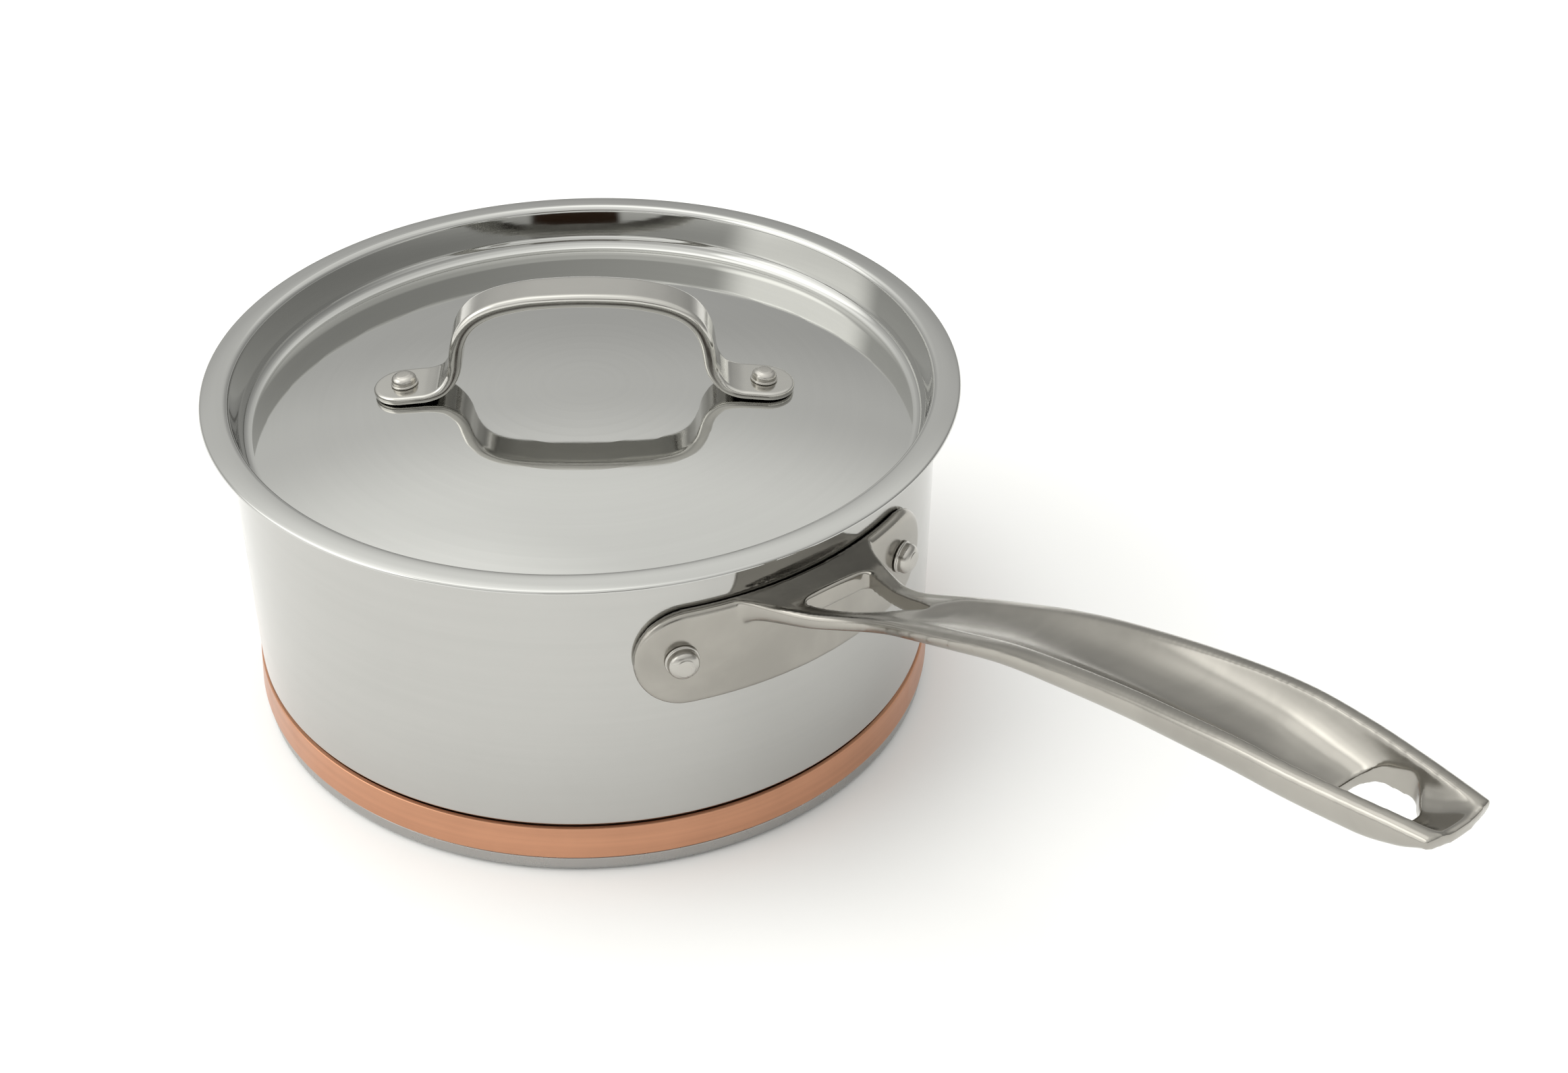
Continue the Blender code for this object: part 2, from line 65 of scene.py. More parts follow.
WALL = 0.8 * MM
LIP_RADIUS = pot_high.x
LIP_FLARE = 3.9 * MM
LIP_EDGE_SETBACK = 0.05 * MM
LIP_EDGE_ROUND = WALL / 2 - 0.02 * MM
POT_RADIUS = LIP_RADIUS - LIP_FLARE
FLOOR_UNDERSIDE = pot_low.z
FLOOR_CORNER = 3.0 * MM
JOGGLE_TOP = 17.2 * MM
JOGGLE_RADIUS = POT_RADIUS - 1.1 * MM
JOGGLE_BEND = 0.5 * MM

BAND_TOP, BAND_BOTTOM = band_high.z, band_low.z
BAND_RADIUS = band_high.x
BAND_LEAN = 0.7 * MM
BAND_TOP_ROUND = 0.35 * MM
BAND_FOOT_ROUND = 0.6 * MM
BAND_ROUND_LEAN = 0.02 * MM
TRAY_TOP, TRAY_RADIUS = cap_high.z, cap_high.x
TRAY_BEND = 1.2 * MM
TRAY_EDGE_ROUND = 0.4 * MM

RIM_TOP = lid_high.z
FLANGE_RADIUS = lid_high.x
DOME_TOP = 95.15 * MM
DOME_SPHERE = 610.0 * MM
PANEL_RADIUS = 94.6 * MM
SKIRT_TOP_RADIUS = 99.4 * MM
SKIRT_FOOT_RADIUS = 98.2 * MM
SKIRT_FOOT = 91.6 * MM
GUTTER_CORNER = (97.3 * MM, 87.75 * MM)
SHOULDER_ROUND = 2.0 * MM
FLANGE_DROP = 0.45 * MM
FLANGE_EDGE_ROUND = 0.9 * MM

LOOP_TURN = math.radians(54.1)
LOOP_TOP = loop_high.z
PAD_REACH = 60.2 * MM
PAD_HALF_WIDTH = 8.3 * MM
PAD_THICKNESS = 2.4 * MM
STRAP_HALF_WIDTH = 6.4 * MM
STRAP_THICKNESS = 4.0 * MM
STRAP_EDGE_ROUND = 1.45 * MM
STRAP_STEP = 0.7 * MM
PAD_EDGE_ROUND = 0.8 * MM
PAD_SPREADS = (34 * MM, 44 * MM)

LID_RIVET_REACH = 51.2 * MM
LID_RIVET_SHANK = 1.9 * MM
LID_RIVET_HEAD = (3.9 * MM, 3.1 * MM)
LID_RIVET_TAIL = (3.6 * MM, 1.4 * MM)
HANDLE_RIVET_ANGLE = math.radians(20.8)
HANDLE_RIVET_HEIGHT = 73.2 * MM
HANDLE_RIVET_SHANK = 2.6 * MM
HANDLE_RIVET_HEAD = (4.65 * MM, 4.2 * MM)
HANDLE_RIVET_TAIL = (4.6 * MM, 2.0 * MM)

PLATE_INNER = POT_RADIUS + GAP
PLATE_OUTER = 104.2 * MM
PLATE_MIDDLE = 72.8 * MM
PLATE_HALF_HEIGHT = 14.7 * MM
PLATE_HALF_SPAN = 50.4 * MM
PLATE_EDGE_ROUND = 1.6 * MM
PLATE_EDGE_CHANGE = 0.9 * MM
ROOT_RADIUS = 102.9 * MM
ARMS_STRAIGHTEN = 126.0 * MM
FORK_ROOT = 113.6 * MM
FORK_HALF_WIDTH = 11.0 * MM
FORK_POINT = 151.0 * MM
FORK_ROUNDS = (1.8 * MM, 1.2 * MM)
FORK_CUT = (60 * MM, 140 * MM)
CREST_ROUND = 1.9 * MM
FLANK_SHOULDER = 0.4 * MM
FLANK_TUCK = 0.15 * MM
UNDERSIDE_INSET = 0.9 * MM
TIP_REACH = handle_high.x
TIP_BOW = 1.4 * MM
TIP_BOW_LENGTH = 6 * MM
HANG_CENTRE = 277.2 * MM
HANG_ROUND = 4.8 * MM
HANG_CUT = (110 * MM, 170 * MM)
CAST_VOXEL = 0.38 * MM
CAST_POLISH = 20

# How finely the turned shapes are cut: round the axis, and for rivets also along the profile.
TURN_STEPS = 288
RIVET_STEPS = 64
RIVET_SPACING, RIVET_GUARD = 2 * MM, 0.06 * MM


# ---------------------------------------------------------------- shape helpers

def arc(centre, radius, start, end, count):
    """Points on an arc, angles in degrees, both ends included."""
    angles = [math.radians(start + (end - start) * i / (count - 1)) for i in range(count)]
    return [(centre[0] + radius * math.cos(a), centre[1] + radius * math.sin(a)) for a in angles]


def bezier(start, corner, end, count):
    """Points on a curve that leaves start and reaches end along the lines through the corner."""
    points = []
    for i in range(count):
        t = i / (count - 1)
        weights = (1 - t) ** 2, 2 * t * (1 - t), t**2
        points.append(tuple(sum(w * p[k] for w, p in zip(weights, (start, corner, end))) for k in (0, 1)))
    return points


def rounding(inside, radius):
    """How far a face drops towards a rounded edge, from its distance inside that edge."""
    return radius - math.sqrt(max(radius**2 - max(radius - inside, 0.0) ** 2, 0.0))


def offset(path, distance):
    """The path moved to the right of its direction."""
    points = [Vector(p) for p in path]
    moved = []
    for i, point in enumerate(points):
        before = (point - points[i - 1]).normalized() if i else None
        after = (points[i + 1] - point).normalized() if i + 1 < len(points) else None
        along = ((before or after) + (after or before)).normalized()
        moved.append(tuple(point + Vector((along.y, -along.x)) * distance))
    return moved


def refined(profile, longest=5 * MM, guard=0.12 * MM):
    """Extra points on long straight stretches, and close to their ends, so that flats shade flat."""
    fine = [profile[0]]
    for a, b in zip(profile, profile[1:]):
        a, b = Vector(a), Vector(b)
        length = (b - a).length
        if length > 8 * guard:
            count = max(1, math.ceil(length / longest))
            places = [guard / length] + [i / count for i in range(1, count)] + [1 - guard / length]
            fine += [tuple(a.lerp(b, t)) for t in places]
        fine.append(tuple(b))
    return fine


def smooth(x, keys):
    """A Catmull-Rom curve through (place, value) keys, read at x."""
    if x <= keys[0][0]:
        return keys[0][1]
    if x >= keys[-1][0]:
        return keys[-1][1]
    i = max(k for k in range(len(keys) - 1) if keys[k][0] <= x)
    (x0, v0), (x1, v1) = keys[i], keys[i + 1]

    def slope(k):
        low, high = keys[max(k - 1, 0)], keys[min(k + 1, len(keys) - 1)]
        return (high[1] - low[1]) / (high[0] - low[0])

    span = x1 - x0
    t = (x - x0) / span
    start, end = slope(i) * span, slope(i + 1) * span
    return (
        (2 * t**3 - 3 * t**2 + 1) * v0
        + (t**3 - 2 * t**2 + t) * start
        + (3 * t**2 - 2 * t**3) * v1
        + (t**3 - t**2) * end
    )


def object_from(name, shape, sharp=40):
    """A bmesh as a smooth-shaded object whose faces point outwards."""
    bmesh.ops.recalc_face_normals(shape, faces=shape.faces)
    if shape.calc_volume(signed=True) < 0:
        bmesh.ops.reverse_faces(shape, faces=shape.faces)
    mesh = bpy.data.meshes.new(name)
    shape.to_mesh(mesh)
    shape.free()
    mesh.shade_smooth()
    mesh.set_sharp_from_angle(angle=math.radians(sharp))
    obj = bpy.data.objects.new(name, mesh)
    bpy.context.scene.collection.objects.link(obj)
    return obj


def turned(name, profile, steps=TURN_STEPS, closed=False, sharp=40):
    """A profile of (radius, height) turned about Z. A point on the axis becomes one pole."""
    shape = bmesh.new()
    rows = []
    for radius, height in profile:
        if radius < 1e-9:
            rows.append([shape.verts.new((0, 0, height))])
            continue
        angles = [2 * math.pi * k / steps for k in range(steps)]
        rows.append([shape.verts.new((radius * math.cos(a), radius * math.sin(a), height)) for a in angles])
    pairs = list(zip(rows, rows[1:]))
    if closed:
        pairs.append((rows[-1], rows[0]))
    for low, high in pairs:
        for k in range(steps):
            j = (k + 1) % steps
            corners = [low[k % len(low)], low[j % len(low)], high[j % len(high)], high[k % len(high)]]
            shape.faces.new(list(dict.fromkeys(corners)))
    return object_from(name, shape, sharp)


def loft(name, rings, sharp=40):
    """A closed skin through rings; each end is closed across from its top half to its bottom half."""
    shape = bmesh.new()
    rows = [[shape.verts.new(point) for point in ring] for ring in rings]
    count = len(rows[0])
    for low, high in zip(rows, rows[1:]):
        for i in range(count):
            j = (i + 1) % count
            shape.faces.new((low[i], low[j], high[j], high[i]))
    for row in (rows[0], rows[-1]):
        for i in range(count // 2 - 1):
            shape.faces.new((row[i], row[i + 1], row[-2 - i], row[-1 - i]))
    return object_from(name, shape, sharp)


def prism(name, outline, low, high):
    """An outline of (x, y) raised from one height to another."""
    shape = bmesh.new()
    face = shape.faces.new([shape.verts.new((x, y, low)) for x, y in outline])
    lifted = bmesh.ops.extrude_face_region(shape, geom=[face])
    top = [item for item in lifted["geom"] if isinstance(item, bmesh.types.BMVert)]
    bmesh.ops.translate(shape, verts=top, vec=(0, 0, high - low))
    return object_from(name, shape)


def rounded(corners):
    """A polygon with rounded corners, from (x, y, radius) corners in order."""
    count = 9
    outline = []
    for i, (x, y, radius) in enumerate(corners):
        here = Vector((x, y))
        before = (Vector(corners[i - 1][:2]) - here).normalized()
        after = (Vector(corners[(i + 1) % len(corners)][:2]) - here).normalized()
        half = before.angle(after) / 2
        centre = here + (before + after).normalized() * radius / math.sin(half)
        start = here + before * radius / math.tan(half) - centre
        end = here + after * radius / math.tan(half) - centre
        sweep = start.angle_signed(end)
        for k in range(count):
            turn = Matrix.Rotation(-sweep * k / (count - 1), 2)
            outline.append(tuple(centre + turn @ start))
    return outline


def apply_modifiers(obj, helpers):
    """Makes the modified shape the object's own, and removes the shapes it was cut and joined with."""
    graph = bpy.context.evaluated_depsgraph_get()
    mesh = bpy.data.meshes.new_from_object(obj.evaluated_get(graph))
    obj.modifiers.clear()
    obj.data = mesh
    for helper in helpers:
        bpy.data.objects.remove(helper, do_unlink=True)


def boolean(obj, other, operation):
    """Joins the other shape to the object, or cuts it out of the object."""
    modifier = obj.modifiers.new(other.name, "BOOLEAN")
    modifier.operation = operation
    modifier.object = other
    modifier.solver = "EXACT"


# ---------------------------------------------------------------- materials

LINES_CROWDED = 60.0


def ramp(tree, source, limits, low=0.0, high=1.0):
    """The source eased from low at the first limit to high at the second."""
    made = tree.nodes.new("ShaderNodeMapRange")
    made.interpolation_type = "SMOOTHSTEP"
    for socket, value in zip(("From Min", "From Max", "To Min", "To Max"), (*limits, low, high)):
        made.inputs[socket].default_value = value
    tree.links.new(source, made.inputs["Value"])
    return made.outputs[0]


def combined(tree, operation, *values):
    """One Math node, whose values are sockets or numbers."""
    made = tree.nodes.new("ShaderNodeMath")
    made.operation = operation
    for socket, value in zip(made.inputs, values):
        if isinstance(value, float):
            socket.default_value = value
        else:
            tree.links.new(value, socket)
    return made.outputs[0]


def mixed(tree, factor, first, second):
    """A mix of two colours, each a socket or a colour."""
    mix = tree.nodes.new("ShaderNodeMix")
    mix.data_type = "RGBA"
    tree.links.new(factor, mix.inputs[0])
    for socket, value in zip(mix.inputs[6:8], (first, second)):
        if isinstance(value, tuple):
            socket.default_value = value
        else:
            tree.links.new(value, socket)
    return mix.outputs[2]


def noise(tree, vector, scale, detail, roughness, distortion=0.0):
    """A noise texture read at a vector."""
    made = tree.nodes.new("ShaderNodeTexNoise")
    made.inputs["Scale"].default_value = scale
    made.inputs["Detail"].default_value = detail
    made.inputs["Roughness"].default_value = roughness
    made.inputs["Distortion"].default_value = distortion
    tree.links.new(vector, made.inputs["Vector"])
    return made.outputs["Fac"]


def separated(tree, vector):
    """The sockets of a vector's x, y and z."""
    parts = tree.nodes.new("ShaderNodeSeparateXYZ")
    tree.links.new(vector, parts.inputs[0])
    return parts.outputs


def turned_place(tree, place):
    """Coordinates that run slowly round the axis and fast across it, for the fine lines of a lathe."""
    x, y, z = separated(tree, place)
    squares = combined(tree, "ADD", combined(tree, "MULTIPLY", x, x), combined(tree, "MULTIPLY", y, y))
    across = combined(tree, "ADD", combined(tree, "SQRT", squares), z)
    joined = tree.nodes.new("ShaderNodeCombineXYZ")
    for socket, source in zip(joined.inputs, (x, y, combined(tree, "MULTIPLY", across, LINES_CROWDED))):
        tree.links.new(source, socket)
    return joined.outputs[0]


def metal(name, colour, roughness, tint, smudge, turned_lines=0.0, wave=0.0, pits=0.0):
    """Metal with cloudy colour and gloss, and if asked for fine lines, a faint unevenness and small dents.

    The colour varies by tint to both sides, and smudges add up to smudge to the roughness.
    """
    material = bpy.data.materials.new(name)
    material.use_nodes = True
    tree = material.node_tree
    shader = tree.nodes["Principled BSDF"]
    shader.inputs["Metallic"].default_value = 1.0
    place = tree.nodes.new("ShaderNodeTexCoord").outputs["Object"]

    clouds = noise(tree, place, 22.0, 5.0, 0.6, 0.4)
    if turned_lines:
        path = turned_place(tree, place)
        streaks = noise(tree, path, 8.0, 4.0, 0.6)
        clouds = combined(tree, "MULTIPLY", combined(tree, "ADD", clouds, streaks), 0.5)
    darker = (*[c * (1 - tint) for c in colour], 1.0)
    lighter = (*[c * (1 + tint) for c in colour], 1.0)
    shades = mixed(tree, ramp(tree, clouds, (0.34, 0.66)), darker, lighter)
    tree.links.new(shades, shader.inputs["Base Color"])

    stains = noise(tree, place, 48.0, 6.0, 0.65, 1.2)
    gloss = ramp(tree, stains, (0.38, 0.72), roughness, roughness + smudge)
    tree.links.new(gloss, shader.inputs["Roughness"])

    # Each bump is a height, its strength and its distance.
    bumps = []
    if turned_lines:
        bumps.append((noise(tree, path, 60.0, 3.0, 0.7), turned_lines, 0.02 * MM))
    if wave:
        bumps.append((noise(tree, place, 30.0, 1.0, 0.4), wave, 0.4 * MM))
    if pits:
        bumps.append((noise(tree, place, 420.0, 2.0, 0.6), pits, 0.03 * MM))
    normal = None
    for height, strength, distance in bumps:
        bump = tree.nodes.new("ShaderNodeBump")
        bump.inputs["Strength"].default_value = strength
        bump.inputs["Distance"].default_value = distance
        tree.links.new(height, bump.inputs["Height"])
        if normal:
            tree.links.new(normal, bump.inputs["Normal"])
        normal = bump.outputs[0]
    if normal:
        tree.links.new(normal, shader.inputs["Normal"])
    return material


def dress(obj, material, body, stands_for):
    """Gives a visible piece its material and its body, and hides the CAD nodes that it stands for."""
    obj.data.materials.clear()
    obj.data.materials.append(material)
    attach(obj, body)
    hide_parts(*stands_for)


# ---------------------------------------------------------------- pot

def make_pot_shell():
    """The drawn pot: a floor, a step in behind the band, a straight wall and a flared lip."""
    flare_centre = (POT_RADIUS + LIP_FLARE, RIM_TOP - WALL - GAP - WALL - LIP_FLARE)
    corner_centre = (JOGGLE_RADIUS - FLOOR_CORNER, FLOOR_UNDERSIDE + FLOOR_CORNER)
    inside = [(0.0, FLOOR_UNDERSIDE + WALL)]
    inside += arc(corner_centre, FLOOR_CORNER - WALL, -90, 0, 9)
    inside += [(JOGGLE_RADIUS - WALL, JOGGLE_TOP - WALL)]
    inside += bezier(
        (POT_RADIUS - WALL - JOGGLE_BEND, JOGGLE_TOP + WALL - JOGGLE_BEND),
        (POT_RADIUS - WALL, JOGGLE_TOP + WALL),
        (POT_RADIUS - WALL, JOGGLE_TOP + WALL + JOGGLE_BEND), 5,
    )
    inside += arc(flare_centre, LIP_FLARE + WALL, 180, 92, 13)
    edge_centre = (LIP_RADIUS - LIP_EDGE_SETBACK, flare_centre[1] + LIP_FLARE + WALL / 2)
    edge = arc(edge_centre, LIP_EDGE_ROUND, 60, -60, 5)
    edge = [(min(radius, LIP_RADIUS), height) for radius, height in edge]
    outside = arc(flare_centre, LIP_FLARE, 92, 180, 13)
    outside += bezier(
        (POT_RADIUS, JOGGLE_TOP + JOGGLE_BEND),
        (POT_RADIUS, JOGGLE_TOP),
        (POT_RADIUS - JOGGLE_BEND, JOGGLE_TOP - JOGGLE_BEND), 5,
    )
    outside += [(JOGGLE_RADIUS, BAND_TOP + GAP)]
    outside += arc(corner_centre, FLOOR_CORNER, 0, -90, 9)
    return turned("pot_shell", refined(inside + edge + outside + [(0.0, FLOOR_UNDERSIDE)]))


def make_band():
    """The copper ring: its face leans in a little towards the top."""
    inner = JOGGLE_RADIUS + GAP
    top = BAND_RADIUS - BAND_LEAN
    profile = [(inner, BAND_TOP)]
    profile += bezier(
        (top - BAND_TOP_ROUND, BAND_TOP),
        (top, BAND_TOP),
        (top + BAND_ROUND_LEAN, BAND_TOP - BAND_TOP_ROUND), 6,
    )
    profile += bezier(
        (BAND_RADIUS - BAND_ROUND_LEAN, BAND_BOTTOM + BAND_FOOT_ROUND),
        (BAND_RADIUS, BAND_BOTTOM),
        (BAND_RADIUS - BAND_FOOT_ROUND, BAND_BOTTOM), 6,
    )
    profile += [(inner, BAND_BOTTOM), (inner, BAND_TOP)]
    return turned("copper_band_fine", refined(profile)[:-1], closed=True)


def make_tray():
    """The shallow steel tray that closes the base from below."""
    inner, bend = TRAY_RADIUS - WALL, TRAY_BEND
    profile = [(0.0, WALL)] + arc((inner - bend, WALL + bend), bend, -90, 0, 7)
    profile += [(inner, TRAY_TOP)]
    profile += bezier(
        (TRAY_RADIUS - TRAY_EDGE_ROUND, TRAY_TOP),
        (TRAY_RADIUS, TRAY_TOP),
        (TRAY_RADIUS, TRAY_TOP - TRAY_EDGE_ROUND), 6,
    )
    profile += arc((TRAY_RADIUS - 2 * bend, 2 * bend), 2 * bend, 0, -90, 12)
    return turned("base_tray", refined(profile + [(0.0, 0.0)]))


# ---------------------------------------------------------------- lid

def dome_height(radius):
    """Height of the lid's domed panel at a distance from the axis."""
    return DOME_TOP - radius**2 / (2 * DOME_SPHERE)


def make_lid():
    """The lid's shell: a domed panel, a tight gutter, a steep skirt and a flange that rests on the lip."""
    dome = [(PANEL_RADIUS * i / 24, dome_height(PANEL_RADIUS * i / 24)) for i in range(24)]
    panel_edge = (PANEL_RADIUS, dome_height(PANEL_RADIUS))
    skirt_foot = (SKIRT_FOOT_RADIUS, SKIRT_FOOT)
    gutter = bezier(panel_edge, GUTTER_CORNER, skirt_foot, 17)
    shoulder_centre = (SKIRT_TOP_RADIUS + SHOULDER_ROUND, RIM_TOP - SHOULDER_ROUND)
    shoulder = arc(shoulder_centre, SHOULDER_ROUND, 172, 90, 15)
    crest, brink = shoulder[-1][0], FLANGE_RADIUS - FLANGE_EDGE_ROUND
    across = [crest + (brink - crest) * i / 10 for i in range(1, 10)]
    flange = [(r, RIM_TOP - FLANGE_DROP * ((r - crest) / (brink - crest)) ** 2) for r in across]
    edge = arc((brink, RIM_TOP - FLANGE_DROP - FLANGE_EDGE_ROUND), FLANGE_EDGE_ROUND, 80, 8, 9)
    top = refined(dome + gutter + shoulder) + flange + edge
    underside = offset(top, WALL)
    underside[0] = (0.0, top[0][1] - WALL)
    return turned("lid_shell_fine", top + underside[::-1])


# ---------------------------------------------------------------- lid handle

# Points of the strap's middle line in millimetres: distance out from the crown, drop below it.
STRAP_KEYS = [
    (0.0, 0.0), (12.0, 0.55), (19.0, 1.65), (25.0, 3.35), (29.8, 5.95), (33.0, 9.35), (34.9, 13.55),
    (35.7, 17.55), (36.2, 21.15), (37.5, 24.55), (40.2, 27.85), (44.2, 29.5), (48.5, 30.0), (60.2, 31.15),
]


def strap_line(spacing):
    """Evenly spaced points on the strap's middle line, from the crown out to the pad: (along, height)."""
    crown = LOOP_TOP - STRAP_THICKNESS / 2
    keys = [Vector((u * MM, crown - drop * MM)) for u, drop in STRAP_KEYS]
    ends = [Vector((-keys[1].x, keys[1].y))] + keys + [keys[-1] * 2 - keys[-2]]
    fine = []
    for i in range(1, len(ends) - 2):
        p0, p1, p2, p3 = ends[i - 1:i + 3]
        for k in range(24):
            t = k / 24
            fine.append(
                0.5 * (2 * p1 + (p2 - p0) * t + (2 * p0 - 5 * p1 + 4 * p2 - p3) * t**2
                       + (3 * p1 - p0 - 3 * p2 + p3) * t**3)
            )
    fine.append(keys[-1])
    lengths = [0.0]
    for a, b in zip(fine, fine[1:]):
        lengths.append(lengths[-1] + (b - a).length)
    count = int(lengths[-1] / spacing) + 1
    points, i = [], 0
    for k in range(count):
        target = lengths[-1] * k / (count - 1)
        while i < len(fine) - 2 and lengths[i + 1] < target:
            i += 1
        points.append(fine[i].lerp(fine[i + 1], (target - lengths[i]) / (lengths[i + 1] - lengths[i])))
    return points


def make_loop():
    """The strap handle: a bar with rounded edges whose ends flatten into two round-ended pads."""
    round_centre = PAD_REACH - PAD_HALF_WIDTH
    half = strap_line(STRAP_STEP)
    slope = (half[-1] - half[-2]) / (half[-1].x - half[-2].x)
    inner = [p for p in half if p.x < round_centre]
    ends = [round_centre + PAD_HALF_WIDTH * math.sin(math.radians(a)) for a in range(3, 89, 5)]
    outer = [half[-1] + slope * (u - half[-1].x) for u in ends]
    side = inner + outer
    line = [Vector((-p.x, p.y)) for p in side[:0:-1]] + side
    rings = []
    for i, point in enumerate(line):
        low, high = line[max(i - 1, 0)], line[min(i + 1, len(line) - 1)]
        along = (high - low).normalized()
        across = Vector((-along.y, along.x))
        reach = abs(point.x)
        spread = smooth(reach, [(0, 0), (PAD_SPREADS[0], 0), (PAD_SPREADS[1], 1), (PAD_REACH, 1)])
        full = STRAP_HALF_WIDTH + (PAD_HALF_WIDTH - STRAP_HALF_WIDTH) * spread
        thick = (STRAP_THICKNESS + (PAD_THICKNESS - STRAP_THICKNESS) * spread) / 2
        edge = STRAP_EDGE_ROUND + (PAD_EDGE_ROUND - STRAP_EDGE_ROUND) * spread
        beyond = max(reach - round_centre, 0.0)
        width = math.sqrt(max(full**2 - beyond**2, 1e-12)) if beyond else full
        top = []
        for k in range(25):
            v = -width * math.cos(math.pi * k / 24)
            top.append((v, thick - rounding(full - math.hypot(beyond, v), edge)))
        ring = top + [(v, -h) for v, h in reversed(top)]
        rings.append([(point.x + across.x * h, v, point.y + across.y * h) for v, h in ring])
    loop = loft("lid_loop", rings, sharp=55)
    loop.data.transform(Matrix.Rotation(LOOP_TURN, 4, "Z"))
    return loop


# ---------------------------------------------------------------- rivets

def rivet_profile(shank, seat, head, tail_seat, tail):
    """A turned head with a thin collar, rounded barrel and flattened crown, a shank, and a low domed tail."""
    radius, height = head
    tail_radius, tail_height = tail
    top, collar, waist, crown = seat + height, 0.17 * height, 0.90 * radius, 0.54 * radius
    profile = [(0.0, top), (0.7 * crown, top - 0.01 * height), (crown, top - 0.04 * height)]
    profile += bezier(
        (1.04 * crown, top - 0.07 * height),
        (1.06 * waist, top - 0.22 * height),
        (waist, seat + 1.9 * collar), 14,
    )
    profile += bezier((waist, seat + 1.5 * collar), (waist, seat + collar), (0.96 * radius, seat + collar), 5)
    profile += arc((radius - collar / 2, seat + collar / 2), collar / 2, 75, -75, 7)
    profile += [(shank, seat), (shank, tail_seat), (0.96 * tail_radius, tail_seat)]
    profile += bezier(
        (tail_radius, tail_seat - 0.15 * tail_height),
        (0.95 * tail_radius, tail_seat - tail_height),
        (0.0, tail_seat - tail_height), 9,
    )
    return profile


def make_rivet(name, place, profile):
    """A rivet turned about Z, then moved to its place."""
    rivet = turned(name, refined(profile, RIVET_SPACING, RIVET_GUARD), RIVET_STEPS, sharp=50)
    rivet.data.transform(place)
    return rivet


def lid_rivet_place(side):
    """Stands a lid rivet square on the panel; side 1 is the end that the loop's turn points to."""
    height = dome_height(LID_RIVET_REACH)
    tilt = math.asin(LID_RIVET_REACH / DOME_SPHERE)
    turn = Matrix.Rotation(LOOP_TURN + (0 if side > 0 else math.pi), 4, "Z")
    return turn @ Matrix.Translation((LID_RIVET_REACH, 0, height)) @ Matrix.Rotation(tilt, 4, "Y")


def handle_rivet_place(side):
    """Lays a handle rivet along the pot's radius."""
    turn = Matrix.Rotation(side * HANDLE_RIVET_ANGLE, 4, "Z")
    return turn @ Matrix.Translation((0, 0, HANDLE_RIVET_HEIGHT)) @ Matrix.Rotation(math.pi / 2, 4, "Y")


def pad_top():
    """Height of the pad's upper face over the panel where the rivet stands."""
    (u0, drop0), (u1, drop1) = STRAP_KEYS[-2:]
    drop = drop0 + (drop1 - drop0) * (LID_RIVET_REACH / MM - u0) / (u1 - u0)
    middle = LOOP_TOP - STRAP_THICKNESS / 2 - drop * MM
    return middle - dome_height(LID_RIVET_REACH) + PAD_THICKNESS / 2


# ---------------------------------------------------------------- long handle

# Sections along the handle in millimetres: distance from the pot's axis, then the value there.
HALF_WIDTHS = [(103, 23.0), (105, 21.2), (108, 19.4), (112, 17.8), (120, 14.9), (128, 11.9), (136, 10.3),
               (144, 10.2), (152, 10.9), (168, 11.8), (184, 12.5), (200, 13.4), (224, 14.3), (244, 14.8),
               (264, 13.9), (280, 12.0), (288, 10.8), (295, 9.9)]
RIMS = [(103, 87.6), (107, 88.2), (112, 89.0), (120, 90.6), (128, 93.3), (136, 96.9), (144, 101.0),
        (152, 105.0), (168, 112.5), (184, 119.7), (200, 125.5), (224, 132.7), (248, 138.2), (264, 140.2),
        (280, 141.8), (288, 142.5), (295, 142.9)]
SIDES = [(103, 7.6), (108, 5.8), (120, 4.5), (136, 4.1), (152, 4.1), (184, 4.8), (216, 5.8), (280, 6.8),
         (288, 5.6), (295, 3.0)]
BELLIES = [(103, 0.3), (136, 0.8), (168, 1.4), (216, 2.8), (256, 4.2), (280, 4.4), (288, 2.6), (295, 0.6)]
SCOOPS = [(103, -0.8), (136, -0.8), (148, -0.6), (156, 1.0), (176, 2.2), (200, 3.2), (224, 4.6), (248, 6.2),
          (264, 7.3), (280, 7.3), (288, 4.8), (295, 0.6)]
SQUARENESS = [(150, 2.0), (190, 2.4), (256, 3.6), (300, 3.6)]

# Corners of the hang hole in millimetres, from its centre.
HANG_CORNERS = [(-8.0, -7.4), (3.5, -7.6), (10.0, 0.0), (3.5, 7.6), (-8.0, 7.4)]


